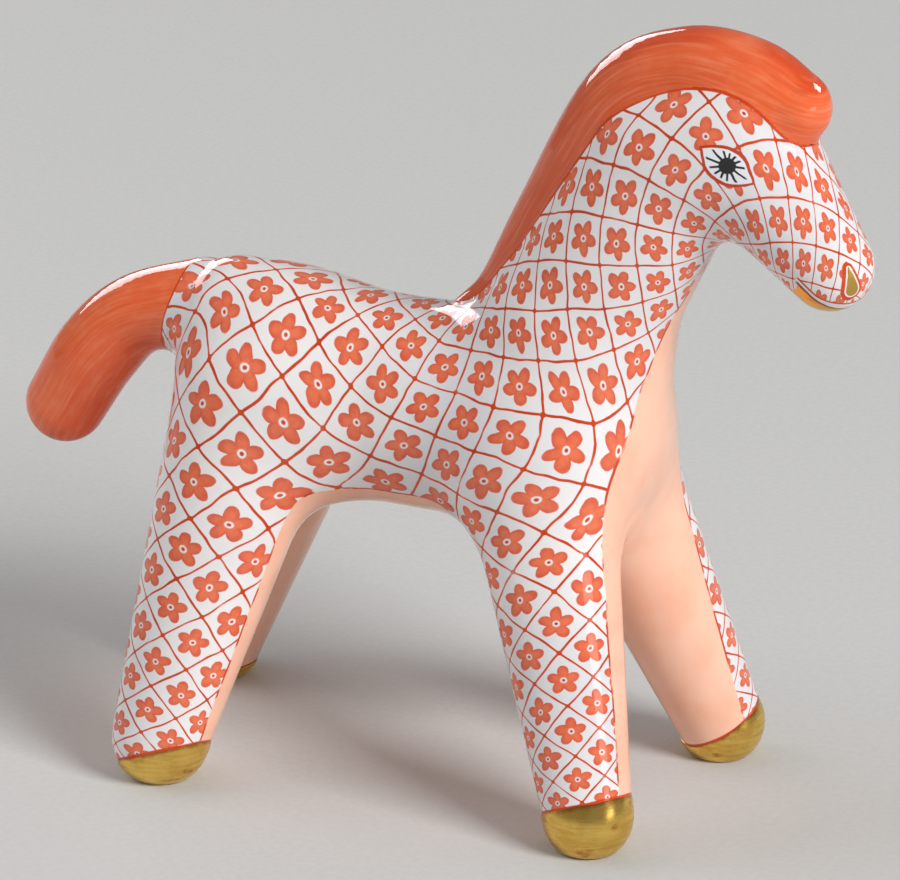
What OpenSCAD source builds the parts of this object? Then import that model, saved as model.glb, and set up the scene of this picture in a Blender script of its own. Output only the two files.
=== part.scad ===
// Porcelain horse figurine: eight castings luted together under one glaze, with gilded hooves.
// Lengths are in millimetres. +X is forward, +Y is the horse's left and the hooves stand on z = 0.

/* [Trunk] */
// Place of the rump along the trunk
rump_x = -21.5; // [-24:0.1:-19]
// Height of the rump's centre
rump_z = 40.5; // [39:0.1:41.5]
// Radius of the rump
rump_r = 5.2; // [4.5:0.1:6.5]
// Place of the loin along the trunk
loin_x = -8.4; // [-11:0.1:-6]
// Height of the loin's centre
loin_z = 34.5; // [33.5:0.1:35.5]
// Radius of the barrel at the loin
loin_r = 9.4; // [8.8:0.1:10]
// Place of the shoulders along the trunk
shoulder_x = 10.6; // [9:0.1:12.5]
// Height of the shoulders' centre
shoulder_z = 34.7; // [33.5:0.1:35.5]
// Radius of the barrel at the shoulders
shoulder_r = 9.9; // [9:0.1:10.5]

/* [Neck and head] */
// Place of the neck's lower end
withers_x = 13.6; // [12:0.1:15]
// Height of the neck's lower end
withers_z = 46.3; // [45:0.1:47.5]
// Radius of the neck's lower end
withers_r = 7.9; // [7.4:0.1:8.6]
// Place of the neck's upper end
crest_x = 21.4; // [20:0.1:23]
// Height of the neck's upper end
crest_z = 60.9; // [59:0.1:62]
// Radius of the neck's upper end
crest_r = 7.2; // [6.6:0.1:7.8]
// Place of the poll, the top of the head
poll_x = 27.2; // [26:0.1:29]
// Height of the poll
poll_z = 64.1; // [63:0.1:65]
// Radius of the head at the poll
poll_r = 6.7; // [6.2:0.1:7.4]
// Place of the muzzle
muzzle_x = 36.7; // [35:0.1:39]
// Height of the muzzle
muzzle_z = 53.1; // [52:0.1:55]
// Radius of the muzzle
muzzle_r = 3.9; // [3.2:0.1:4.4]

/* [Legs] */
// Place of the front hips along the trunk
front_hip_x = 11.3; // [10:0.1:12.5]
// Half the distance between the front hips
front_hip_y = 5.4; // [4.6:0.1:6]
// Height of the front hips
front_hip_z = 32; // [31:0.1:33]
// Radius of the front hips
front_hip_r = 6.8; // [6.2:0.1:7.4]
// Place of the rear hips along the trunk
rear_hip_x = -16.9; // [-18.5:0.1:-15.5]
// Half the distance between the rear hips
rear_hip_y = 5; // [4.4:0.1:6]
// Height of the rear hips
rear_hip_z = 34.5; // [33.5:0.1:35.5]
// Radius of the rear hips
rear_hip_r = 7.7; // [7:0.1:8.2]
// Radius of the front hooves
front_hoof_r = 4; // [3.5:0.1:4.5]
// Radius of the rear hooves
rear_hoof_r = 4.5; // [4:0.1:5]
// Radius of the flat that each hoof stands on
foot_flat_r = 2.4; // [1.6:0.1:3]
// Front right hoof: place along the trunk
front_right_x = 19.9; // [18:0.1:22]
// Front right hoof: distance from the middle
front_right_y = 13.8; // [12:0.1:15]
// Front left hoof: place along the trunk
front_left_x = 22.2; // [20:0.1:24]
// Front left hoof: distance from the middle
front_left_y = 11.6; // [10.5:0.1:14]
// Rear right hoof: place along the trunk
rear_right_x = -22.5; // [-25:0.1:-20]
// Rear right hoof: distance from the middle
rear_right_y = 14.7; // [12:0.1:16]
// Rear left hoof: place along the trunk
rear_left_x = -29; // [-31:0.1:-26]
// Rear left hoof: distance from the middle
rear_left_y = 9.8; // [9:0.1:12]

/* [Mane] */
// Radius of the mane where it starts on the back
mane_start_r = 0.8; // [0.6:0.1:1.2]
// Radius of the mane above the withers
mane_withers_r = 1.7; // [1.4:0.1:2.2]
// Radius of the mane half way up the neck
mane_neck_r = 3; // [2.6:0.1:3.4]
// Radius of the mane over the crest
mane_crest_r = 4; // [3.6:0.1:4.4]
// Radius of the mane over the poll
mane_poll_r = 4.2; // [3.8:0.1:4.6]
// Radius of the forelock
forelock_r = 3.4; // [3:0.1:3.8]
// Depth of the mane's middle line under the skin of the crest
mane_depth = 0.55; // [0.4:0.05:0.8]

/* [Tail] */
// Radius of the tail at its root
tail_root_r = 4.1; // [3.7:0.1:4.5]
// Radius of the tail
tail_r = 3.8; // [3.4:0.1:4.2]
// Distance from the rump's centre back to the middle of the tail's tip
tail_reach = 17.9; // [16:0.1:20]
// Distance from the rump's centre down to the middle of the tail's tip
tail_drop = 11.4; // [10:0.1:13]

/* [Blends] */
// Reach of the blend between the neck and the trunk
neck_blend = 8; // [6:0.5:10]
// Reach of the blend between the head and the neck
head_blend = 4; // [3:0.5:5]
// Reach of the blend between a leg and the trunk
leg_blend = 6; // [4.5:0.5:7]
// Reach of the blend along the barrel
spine_blend = 1; // [0.5:0.5:2]

/* [Lute joints] */
// Height of the joint between a leg and its stump
leg_joint_z = 19; // [16:0.5:20]
// Length of the stump between a leg's joint and the belly
stump_length = 8; // [7:0.5:9]
// Place where the neck's joint crosses the middle of the trunk
neck_joint_x = 10; // [8:0.1:12]
// Height where the neck's joint crosses the middle of the trunk
neck_joint_z = 38.5; // [37:0.1:40]
// Slope of the neck's joint from level
neck_joint_tilt = 35; // [28:1:42]

/* [Gilding] */
// Thickness of the gold layer
gilding_t = 0.15; // [0.1:0.05:0.3]
// Height of the gold's edge over the middle of a front foot
front_gilding_z = 4.3; // [3.6:0.1:5]
// Height of the gold's edge over the middle of a rear foot
rear_gilding_z = 2.2; // [1.9:0.1:3.5]
// Slope of the gold's edge, up to the toe
gilding_toe_slope = 21; // [0:1:24]
// Slope of the gold's edge, up to the outer side
gilding_side_slope = 16; // [0:1:18]

/* [Hidden] */

white_glaze = "#f2f0ee";
coral = "#dc6441";
gold = "#c49a36";

// Segments along one side of a patch of the skin
n = 5;
// Steps of the walk out to the skin, of the pull onto it, and the probe that finds its slope
walk_steps = 14;
pull_steps = 3;
probe = 0.01;

up = [0, 0, 1];
left = [0, 1, 0];
forward = [1, 0, 0];

rump = [rump_x, 0, rump_z];
loin = [loin_x, 0, loin_z];
shoulder = [shoulder_x, 0, shoulder_z];
withers = [withers_x, 0, withers_z];
crest = [crest_x, 0, crest_z];
poll = [poll_x, 0, poll_z];
muzzle = [muzzle_x, 0, muzzle_z];
neck_joint = [neck_joint_x, 0, neck_joint_z];

front_hoof_z = sqrt(pow(front_hoof_r, 2) - pow(foot_flat_r, 2));
rear_hoof_z = sqrt(pow(rear_hoof_r, 2) - pow(foot_flat_r, 2));

// Each leg: hip, centre of the hoof, radius of the hip, radius of the hoof, height of the gold's edge
front_right = [
    [front_hip_x, -front_hip_y, front_hip_z],
    [front_right_x, -front_right_y, front_hoof_z], front_hip_r, front_hoof_r, front_gilding_z
];
front_left = [
    [front_hip_x, front_hip_y, front_hip_z],
    [front_left_x, front_left_y, front_hoof_z], front_hip_r, front_hoof_r, front_gilding_z
];
rear_right = [
    [rear_hip_x, -rear_hip_y, rear_hip_z],
    [rear_right_x, -rear_right_y, rear_hoof_z], rear_hip_r, rear_hoof_r, rear_gilding_z
];
rear_left = [
    [rear_hip_x, rear_hip_y, rear_hip_z],
    [rear_left_x, rear_left_y, rear_hoof_z], rear_hip_r, rear_hoof_r, rear_gilding_z
];

// Middle of the figure's length and width, which is moved over the origin
centre_x = (rump_x - tail_reach - tail_r + muzzle_x + muzzle_r) / 2;
left_side = max(front_left_y + front_hoof_r, rear_left_y + rear_hoof_r);
right_side = max(front_right_y + front_hoof_r, rear_right_y + rear_hoof_r);
centre_y = (left_side - right_side) / 2;

function unit(v) = v / norm(v);
function mix(a, b, t) = a * (1 - t) + b * t;
function flat(lists) = [for (l = lists) each l];

// Signed distance from p to a cone with round ends at a and b
function round_cone(p, a, b, ra, rb) =
    let (
        axis = b - a,
        l2 = axis * axis,
        dr = ra - rb,
        a2 = l2 - dr * dr,
        pa = p - a,
        y = pa * axis,
        z = y - l2,
        off = pa * l2 - axis * y,
        x2 = off * off,
        y2 = y * y * l2,
        z2 = z * z * l2,
        k = sign(dr) * dr * dr * x2
    )
    sign(z) * a2 * z2 > k ? sqrt(x2 + z2) / l2 - rb :
    sign(y) * a2 * y2 < k ? sqrt(x2 + y2) / l2 - ra :
    (sqrt(x2 * a2 / l2) + y * dr) / l2 - ra;

// Smaller of two distances, rounded off over a reach of k
function smooth_min(a, b, k) = let (h = max(k - abs(a - b), 0) / k) min(a, b) - h * h * k / 4;

function leg_distance(p, leg) = round_cone(p, leg[0], leg[1], leg[2], leg[3]);

// Signed distance to the skin of the whole figure without its mane and tail
function skin(p) =
    let (
        trunk = smooth_min(
            round_cone(p, rump, loin, rump_r, loin_r),
            round_cone(p, loin, shoulder, loin_r, shoulder_r), spine_blend),
        with_neck = smooth_min(trunk, round_cone(p, withers, crest, withers_r, crest_r), neck_blend),
        with_head = smooth_min(with_neck, round_cone(p, poll, muzzle, poll_r, muzzle_r), head_blend),
        with_one = smooth_min(with_head, leg_distance(p, front_right), leg_blend),
        with_two = smooth_min(with_one, leg_distance(p, front_left), leg_blend),
        with_three = smooth_min(with_two, leg_distance(p, rear_right), leg_blend)
    )
    smooth_min(with_three, leg_distance(p, rear_left), leg_blend);

// Distance from c to the skin along dir, walked outward by the depth that is left
function reach(c, dir, level = 0, d = 0, steps = walk_steps) =
    steps == 0 ? d : reach(c, dir, level, d + level - skin(c + dir * d), steps - 1);

// Pulls p straight onto the skin
function pull(p, steps = pull_steps) =
    steps == 0 ? p :
    let (
        f = skin(p),
        g = [
            skin(p + probe * forward) - f,
            skin(p + probe * left) - f,
            skin(p + probe * up) - f
        ] / probe
    )
    pull(p - g * f / (g * g), steps - 1);

// Ring of points on the skin round c, in the plane of the unit vectors u and v
function ring(c, u, v, count, start, turn, level = 0) = [
    for (m = [0 : count - 1])
        let (
            angle = start + turn * m / count,
            dir = u * cos(angle) + v * sin(angle)
        )
        c + dir * reach(c, dir, level)
];

// Faces between one ring of a loft and the next
function loft_faces(rows, count, closed = false) = [
    for (r = [0 : rows - (closed ? 1 : 2)])
        for (m = [0 : count - 1])
            let (
                a = r * count + m,
                b = r * count + (m + 1) % count,
                c = (r + 1) % rows * count + (m + 1) % count,
                d = (r + 1) % rows * count + m
            )
            each [[a, b, c], [a, c, d]]
];

function first_cap(count) = [for (m = [count - 1 : -1 : 0]) m];
function last_cap(rows, count) = [for (m = [0 : count - 1]) (rows - 1) * count + m];

// Smooth curve through a list of places, at s steps along it
function curve(places, s) =
    let (
        last = len(places) - 1,
        i = min(floor(s), last - 1),
        t = s - i,
        b = places[i],
        c = places[i + 1],
        a = i == 0 ? 2 * b - c : places[i - 1],
        d = i == last - 1 ? 2 * c - b : places[i + 2]
    )
    (2 * b + (c - a) * t + (2 * a - 5 * b + 4 * c - d) * t * t + (3 * b - a - 3 * c + d) * t * t * t) / 2;

// Legs

leg_count = 4 * n;
leg_rows = 7;
hoof_rows = 6;
// Shares of the way from the gold's edge down to the floor
hoof_shares = [for (r = [1 : hoof_rows]) sin(90 * r / hoof_rows)];

function leg_ring(c, axis, level = 0) =
    let (
        u = unit(forward - axis * axis[0]),
        v = cross(axis, u)
    )
    ring(c, u, v, leg_count, 45, 360, level);

function leg_at(leg, z) = mix(leg[1], leg[0], (z - leg[1][2]) / (leg[0][2] - leg[1][2]));
function gold_edge(leg) = [leg[1][0], leg[1][1], leg[4]];
function gold_axis(leg) = unit(
    up - forward * tan(gilding_toe_slope) - left * sign(leg[1][1]) * tan(gilding_side_slope));

// Ring of the leg, from its joint at t = 0 to the gold's edge at t = 1
function upper_ring(leg, t) = leg_ring(
    mix(leg_at(leg, leg_joint_z), gold_edge(leg), t), unit(mix(up, gold_axis(leg), t)));

// Ring of the hoof, from the gold's edge at t = 0 to the floor at t = 1
function hoof_ring(leg, t, level = 0) = leg_ring(
    mix(gold_edge(leg), [leg[1][0], leg[1][1], 0], t), unit(mix(gold_axis(leg), up, t)), level);

module leg_casting(leg) {
    rings = concat(
        [for (r = [0 : leg_rows - 1]) upper_ring(leg, r / leg_rows)],
        [hoof_ring(leg, 0)],
        [for (t = hoof_shares) hoof_ring(leg, t)]
    );
    rows = len(rings);
    polyhedron(flat(rings), concat(
        loft_faces(rows, leg_count), [first_cap(leg_count), last_cap(rows, leg_count)]));
}

module hoof_gilding(leg) {
    steps = concat([0], [for (t = hoof_shares) if (t < 1) t]);
    rings = concat(
        [for (t = steps) hoof_ring(leg, t, gilding_t)],
        [for (r = [len(steps) - 1 : -1 : 0]) hoof_ring(leg, steps[r])]
    );
    polyhedron(flat(rings), loft_faces(len(rings), leg_count, closed = true));
}

// Neck and head

// Sides of the net that the neck's joint meets, and the first point of a ring, a side and a half past the mane
neck_sides = 10;
neck_count = neck_sides * n;
neck_start = 180 + 1.5 * 360 / neck_sides;
neck_angle = atan2(crest_z - withers_z, crest_x - withers_x);
head_angle = atan2(muzzle_z - poll_z, muzzle_x - poll_x);
// Centres that the rings pass through, and the slope of the rings' axes there
neck_centres = [neck_joint, withers, crest, poll, muzzle];
neck_slopes = [
    90 - neck_joint_tilt, neck_angle, mix(neck_angle, head_angle, 0.25),
    mix(neck_angle, head_angle, 0.5), head_angle
];
// Rings from each centre to the next, and over the round end of the muzzle
neck_rows = [3, 7, 5, 6];
muzzle_rows = 5;
neck_stations = [for (i = [0 : len(neck_rows) - 1]) for (r = [0 : neck_rows[i] - 1]) i + r / neck_rows[i]];
muzzle_turns = [for (r = [0 : muzzle_rows - 1]) 90 * r / muzzle_rows];

function neck_ring(c, slope) = ring(
    c, [sin(slope), 0, -cos(slope)], left, neck_count, neck_start, -360);

function muzzle_dir() = [cos(head_angle), 0, sin(head_angle)];

neck_loop = neck_ring(neck_joint, neck_slopes[0]);

module neck_and_head_casting() {
    rings = concat(
        [for (s = neck_stations) neck_ring(curve(neck_centres, s), curve(neck_slopes, s))],
        [for (a = muzzle_turns) neck_ring(muzzle + muzzle_dir() * muzzle_r * sin(a), head_angle)]
    );
    rows = len(rings);
    tip = muzzle + muzzle_dir() * reach(muzzle, muzzle_dir());
    tip_index = rows * neck_count;
    tip_faces = [
        for (m = [0 : neck_count - 1])
            let (start = (rows - 1) * neck_count)
            [start + m, start + (m + 1) % neck_count, tip_index]
    ];
    polyhedron(concat(flat(rings), [tip]), concat(
        loft_faces(rows, neck_count), [first_cap(neck_count)], tip_faces));
}

// Trunk: a net of patches over the skin, open at the neck's joint and at the four legs' joints.
// A corner of the net is [i, j, k], counted forward, to the left and up.

// Corners that lie on the neck's joint, in order round it
neck_corners = [
    [3, 0, 2], [3, 1, 2], [3, 2, 2], [3, 3, 2], [4, 3, 2],
    [4, 3, 1], [4, 2, 1], [4, 1, 1], [4, 0, 1], [4, 0, 2]
];
// Height at which the stumps leave the belly, and half the strip between them
stump_z = leg_joint_z + stump_length;
strip_half = 0.3 * front_hip_y;

function index_of(list, item) = [for (m = [0 : len(list) - 1]) if (list[m] == item) m][0];

function net_leg(i, j) = i < 2 ? (j < 2 ? rear_right : rear_left) : (j < 2 ? front_right : front_left);

// Corner of the net under the belly, at the root of a leg
function root_corner(i, j) =
    let (
        leg = net_leg(i, j),
        c = leg_at(leg, stump_z),
        r = 0.7 * mix(leg[3], leg[2], (stump_z - leg[1][2]) / (leg[0][2] - leg[1][2])),
        x = c[0] + (i % 3 == 0 ? -r : r),
        outer = j == 0 ? c[1] - r : c[1] + r,
        inner = j == 1 ? min(c[1] + r, -strip_half) : max(c[1] - r, strip_half)
    )
    [x, j == 0 || j == 3 ? outer : inner, stump_z];

// Spine of the trunk at the net's columns: centre and half width
function column(i) =
    i == 0 ? [rump - [rump_r / 2, 0, rump_r / 2], rear_hip_r * 0.85] :
    i == 1 ? [mix(loin, rump, 0.25), loin_r] :
    [mix(shoulder, loin, 0.3), shoulder_r];

net_side = [-0.8, -0.27, 0.27, 0.8];

// Corner of the net on the trunk's flank, back or rump
function upper_corner(i, j, k) =
    let (
        spine = column(i),
        y = net_side[j] * (k == 1 ? 1.25 : 1),
        z = k == 1 ? 0 : sqrt(1 - y * y)
    )
    spine[0] + spine[1] * [0, y, z];

function guess(i, j, k) =
    i == 2 ? (guess(1, j, k) + guess(3, j, k)) / 2 :
    k == 0 ? root_corner(i, j) : upper_corner(i, j, k);

function corner_point(id) =
    let (c = index_of(neck_corners, id))
    c == undef ? pull(guess(id[0], id[1], id[2]), 8) : neck_loop[c * n];

net = [for (i = [0 : 4]) [for (j = [0 : 3]) [for (k = [0 : 2]) corner_point([i, j, k])]]];

function at(id) = net[id[0]][id[1]][id[2]];

// Line of the skin from a to b, the same points whichever end comes first
function skin_line(a, b) = [
    for (t = [0 : n])
        t == 0 ? a : t == n ? b : pull((a * (n - t) + b * t) / n)
];

// Side of a patch between two corners, which follows the neck's joint where both lie on it
function side(a, b) =
    let (
        ca = index_of(neck_corners, a),
        cb = index_of(neck_corners, b),
        step = ca == undef || cb == undef ? 0 : (cb - ca + neck_sides) % neck_sides
    )
    step == 1 ? [for (t = [0 : n]) neck_loop[(ca * n + t) % neck_count]] :
    step == neck_sides - 1 ? [for (t = [0 : n]) neck_loop[(ca * n - t + neck_count) % neck_count]] :
    skin_line(at(a), at(b));

// Patch between four sides: first and last run across it, start and end run along it
function patch(first, last, start, end) = [
    for (r = [0 : n])
        for (c = [0 : n])
            let (
                s = r / n,
                t = c / n,
                across = mix(first[c], last[c], s),
                along = mix(start[r], end[r], t),
                corners = mix(mix(first[0], first[n], t), mix(last[0], last[n], t), s)
            )
            r == 0 ? first[c] : r == n ? last[c] :
            c == 0 ? start[r] : c == n ? end[r] :
            pull(across + along - corners)
];

function net_patch(a, b, c, d) = patch(side(a, b), side(d, c), side(a, d), side(b, c));

patch_faces = [
    for (r = [0 : n - 1])
        for (c = [0 : n - 1])
            let (
                a = r * (n + 1) + c,
                d = a + n + 1
            )
            each [[a, a + 1, d + 1], [a, d + 1, d]]
];

function is_root(i, j) = i % 3 == 0 && j != 1;

function back_patches() = [
    for (i = [0 : 2]) for (j = [0 : 2])
        net_patch([i, j + 1, 2], [i + 1, j + 1, 2], [i + 1, j, 2], [i, j, 2])
];
function belly_patches() = [
    for (i = [0 : 3]) for (j = [0 : 2]) if (!is_root(i, j))
        net_patch([i, j, 0], [i + 1, j, 0], [i + 1, j + 1, 0], [i, j + 1, 0])
];
function left_patches() = [
    for (i = [0 : 3]) for (k = [0 : 1])
        net_patch([i, 3, k], [i + 1, 3, k], [i + 1, 3, k + 1], [i, 3, k + 1])
];
function right_patches() = [
    for (i = [0 : 3]) for (k = [0 : 1])
        net_patch([i, 0, k], [i, 0, k + 1], [i + 1, 0, k + 1], [i + 1, 0, k])
];
function rump_patches() = [
    for (j = [0 : 2]) for (k = [0 : 1])
        net_patch([0, j, k], [0, j + 1, k], [0, j + 1, k + 1], [0, j, k + 1])
];
function chest_patches() = [
    for (j = [0 : 2])
        net_patch([4, j, 0], [4, j, 1], [4, j + 1, 1], [4, j + 1, 0])
];

// Stump of a leg, from its four corners at the belly down to its joint
function stump_patches(i, j) =
    let (
        loop = upper_ring(net_leg(i, j), 0),
        roots = [[i + 1, j + 1, 0], [i, j + 1, 0], [i, j, 0], [i + 1, j, 0]]
    )
    [
        for (q = [0 : 3])
            let (
                a = roots[q],
                b = roots[(q + 1) % 4],
                below = [for (t = [0 : n]) loop[(q * n + t) % leg_count]]
            )
            patch(side(a, b), below, skin_line(at(a), below[0]), skin_line(at(b), below[n]))
    ];

module torso_casting() {
    legs = [[0, 0], [0, 2], [3, 0], [3, 2]];
    patches = concat(
        back_patches(), belly_patches(), left_patches(), right_patches(), rump_patches(), chest_patches(),
        flat([for (l = legs) stump_patches(l[0], l[1])])
    );
    size = (n + 1) * (n + 1);
    neck_from = len(patches) * size;
    legs_from = neck_from + neck_count;
    points = concat(
        flat(patches), neck_loop,
        flat([for (l = legs) upper_ring(net_leg(l[0], l[1]), 0)])
    );
    faces = concat(
        [for (p = [0 : len(patches) - 1]) for (f = patch_faces) f + [1, 1, 1] * p * size],
        [[for (m = [0 : neck_count - 1]) neck_from + m]],
        [for (l = [0 : 3]) [for (m = [0 : leg_count - 1]) legs_from + l * leg_count + m]]
    );
    polyhedron(points, faces);
}

// Mane and tail

roll_count = 20;
roll_rows = 4;
cap_rows = 4;
cap_turns = [for (r = [1 : cap_rows - 1]) 90 * r / cap_rows];

// Stations up the neck that the mane's middle line passes, and its depth there as shares of mane_depth
mane_stations = [0.05, 0.7, 1.3, 1.93, 2.59, 3.16, 3.43];
mane_shares = [0.4, 0.5, 0.8, 1.1, 1, 3.4, 0.4];
mane_radii = [mane_start_r, mane_withers_r, mane_neck_r, mane_crest_r, mane_crest_r, mane_poll_r, forelock_r];

// Place of the mane's middle line under the skin of the crest, at a station up the neck
function mane_place(station, depth) =
    let (
        c = curve(neck_centres, station),
        slope = curve(neck_slopes, station),
        back = [-sin(slope), 0, cos(slope)]
    )
    c + back * (reach(c, back) - depth);

mane_path = [
    for (m = [0 : len(mane_stations) - 1]) mane_place(mane_stations[m], mane_depth * mane_shares[m])
];

// Shares of the tail's reach and drop that its middle line passes
tail_shares = [[0.18, -0.05], [0.56, 0.14], [0.8, 0.5], [1, 1]];
tail_path = [for (t = tail_shares) rump - [tail_reach * t[0], 0, tail_drop * t[1]]];
tail_radii = [tail_root_r, tail_r, 1.05 * tail_r, tail_r];

function roll_ring(c, r, slope) = [
    for (m = [0 : roll_count - 1])
        let (angle = -360 * m / roll_count)
        c + r * ([sin(slope), 0, -cos(slope)] * cos(angle) + left * sin(angle))
];

// Round-ended roll along a curve in the middle plane
module roll(path, radii) {
    last = len(path) - 1;
    stations = [for (r = [0 : last * roll_rows]) r / roll_rows];
    function slope(s) =
        let (d = curve(path, min(s + probe, last)) - curve(path, max(s - probe, 0)))
        atan2(d[2], d[0]);
    function dir(s) = [cos(slope(s)), 0, sin(slope(s))];
    function cap_ring(s, way, turn) = roll_ring(
        curve(path, s) + dir(s) * way * curve(radii, s) * cos(turn), curve(radii, s) * sin(turn), slope(s));
    rings = concat(
        [for (t = cap_turns) cap_ring(0, -1, t)],
        [for (s = stations) roll_ring(curve(path, s), curve(radii, s), slope(s))],
        [for (t = [len(cap_turns) - 1 : -1 : 0]) cap_ring(last, 1, cap_turns[t])]
    );
    rows = len(rings);
    ends = [path[0] - dir(0) * radii[0], path[last] + dir(last) * radii[last]];
    first_end = rows * roll_count;
    end_faces = [
        for (m = [0 : roll_count - 1])
            let (
                next = (m + 1) % roll_count,
                start = (rows - 1) * roll_count
            )
            each [[first_end, next, m], [start + m, start + next, first_end + 1]]
    ];
    polyhedron(concat(flat(rings), ends), concat(loft_faces(rows, roll_count), end_faces));
}

// Moves the figure's middle over the origin
module placed() {
    translate([-centre_x, -centre_y, 0]) children();
}

module torso() {
    color(white_glaze) placed() torso_casting();
}

module neck_and_head() {
    color(white_glaze) placed() neck_and_head_casting();
}

module front_right_leg() {
    color(white_glaze) placed() leg_casting(front_right);
}

module front_left_leg() {
    color(white_glaze) placed() leg_casting(front_left);
}

module rear_right_leg() {
    color(white_glaze) placed() leg_casting(rear_right);
}

module rear_left_leg() {
    color(white_glaze) placed() leg_casting(rear_left);
}

// Roll on the crest, hollowed to sit on the back, the neck and the brow
module mane() {
    color(coral) placed() difference() {
        roll(mane_path, mane_radii);
        neck_and_head_casting();
        torso_casting();
    }
}

// Roll that hangs from the rump, hollowed to sit on it
module tail() {
    color(coral) placed() difference() {
        roll(tail_path, tail_radii);
        torso_casting();
    }
}

module front_right_hoof_gilding() {
    color(gold) placed() hoof_gilding(front_right);
}

module front_left_hoof_gilding() {
    color(gold) placed() hoof_gilding(front_left);
}

module rear_right_hoof_gilding() {
    color(gold) placed() hoof_gilding(rear_right);
}

module rear_left_hoof_gilding() {
    color(gold) placed() hoof_gilding(rear_left);
}

torso();
neck_and_head();
front_right_leg();
front_left_leg();
rear_right_leg();
rear_left_leg();
mane();
tail();
front_right_hoof_gilding();
front_left_hoof_gilding();
rear_right_hoof_gilding();
rear_left_hoof_gilding();
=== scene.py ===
import math

import bmesh
import bpy
import numpy as np
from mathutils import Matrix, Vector
from mathutils.kdtree import KDTree


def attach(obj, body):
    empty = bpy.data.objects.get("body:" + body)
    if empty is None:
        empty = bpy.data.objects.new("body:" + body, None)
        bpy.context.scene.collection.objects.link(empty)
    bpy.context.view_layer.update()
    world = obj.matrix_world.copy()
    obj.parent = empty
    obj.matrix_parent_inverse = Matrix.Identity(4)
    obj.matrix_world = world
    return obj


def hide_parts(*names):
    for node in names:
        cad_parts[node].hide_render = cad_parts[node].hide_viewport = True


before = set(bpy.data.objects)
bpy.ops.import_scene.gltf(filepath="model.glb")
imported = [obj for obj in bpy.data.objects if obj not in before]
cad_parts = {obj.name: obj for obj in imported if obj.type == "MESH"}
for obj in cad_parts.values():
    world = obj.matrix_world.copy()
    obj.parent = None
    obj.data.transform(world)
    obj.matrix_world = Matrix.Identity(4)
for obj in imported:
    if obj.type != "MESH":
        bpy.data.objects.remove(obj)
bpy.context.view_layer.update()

# Torso: the hollow barrel of the figure with its neck seat and four leg stumps, slip-cast in white porcelain.
# The other castings are luted to it with slip and the joints are sponged smooth, so one skin runs over all of
# them. It is glazed in one coat and painted over the glaze by brush, in iron red and a thin peach wash.

MM = 0.001
figure_middle = np.array([-1.3, -1.8, 0.0])  # of the model as it is laid out below, moved over the origin

rump, rump_r = np.array([-21.5, 0, 40.5]), 5.2
loin, loin_r = np.array([-8.4, 0, 34.5]), 9.4
shoulder, shoulder_r = np.array([10.6, 0, 34.7]), 9.9
withers, withers_r = np.array([13.6, 0, 46.3]), 7.9
crest, crest_r = np.array([21.4, 0, 60.9]), 7.2
poll, poll_r = np.array([27.2, 0, 64.1]), 6.7
muzzle, muzzle_r = np.array([36.7, 0, 53.1]), 3.9

front_hip_r, front_hoof_r = 6.8, 4.0
rear_hip_r, rear_hoof_r = 7.7, 4.5
foot_flat_r = 2.4
front_hoof_z = math.sqrt(front_hoof_r**2 - foot_flat_r**2)
rear_hoof_z = math.sqrt(rear_hoof_r**2 - foot_flat_r**2)

front_radii, rear_radii = (front_hip_r, front_hoof_r), (rear_hip_r, rear_hoof_r)

# Each leg: hip, centre of the hoof, radius of the hip, radius of the hoof
legs = {
    "front_right": (np.array([11.3, -5.4, 32]), np.array([19.9, -13.8, front_hoof_z]), *front_radii),
    "front_left": (np.array([11.3, 5.4, 32]), np.array([22.2, 11.6, front_hoof_z]), *front_radii),
    "rear_right": (np.array([-16.9, -5, 34.5]), np.array([-22.5, -14.7, rear_hoof_z]), *rear_radii),
    "rear_left": (np.array([-16.9, 5, 34.5]), np.array([-29, 9.8, rear_hoof_z]), *rear_radii),
}
spine_blend, neck_blend, head_blend, leg_blend = 1, 8, 4, 6
leg_joint_z = 19
neck_joint = np.array([10, 0, 38.5])
neck_joint_slope = 55
neck_joint_lean = math.radians(neck_joint_slope)
neck_joint_axis = np.array([math.cos(neck_joint_lean), 0, math.sin(neck_joint_lean)])
castings = ["torso", "neck_and_head"] + [leg + "_leg" for leg in legs]


def round_cone(points, start, end, start_r, end_r):
    """Distance from the points to a cone with round ends."""
    axis = end - start
    length2 = axis @ axis
    taper = start_r - end_r
    slant2 = length2 - taper * taper
    offset = points - start
    along = offset @ axis
    beyond = along - length2
    across = offset * length2 - np.outer(along, axis)
    across2 = (across * across).sum(1)
    along2 = along * along * length2
    beyond2 = beyond * beyond * length2
    limit = np.sign(taper) * taper * taper * across2
    at_end = np.sqrt(across2 + beyond2) / length2 - end_r
    at_start = np.sqrt(across2 + along2) / length2 - start_r
    on_side = (np.sqrt(across2 * slant2 / length2) + along * taper) / length2 - start_r
    before_end = np.where(np.sign(along) * slant2 * along2 < limit, at_start, on_side)
    return np.where(np.sign(beyond) * slant2 * beyond2 > limit, at_end, before_end)


def smooth_min(one, other, blend):
    """Smaller of two distances, rounded off where they differ by less than the blend."""
    overlap = np.maximum(blend - np.abs(one - other), 0) / blend
    return np.minimum(one, other) - overlap * overlap * blend / 4


def trunk_distance(points):
    """Distance to the trunk, neck and head."""
    barrel = smooth_min(
        round_cone(points, rump, loin, rump_r, loin_r),
        round_cone(points, loin, shoulder, loin_r, shoulder_r), spine_blend)
    with_neck = smooth_min(barrel, round_cone(points, withers, crest, withers_r, crest_r), neck_blend)
    return smooth_min(with_neck, round_cone(points, poll, muzzle, poll_r, muzzle_r), head_blend)


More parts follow.
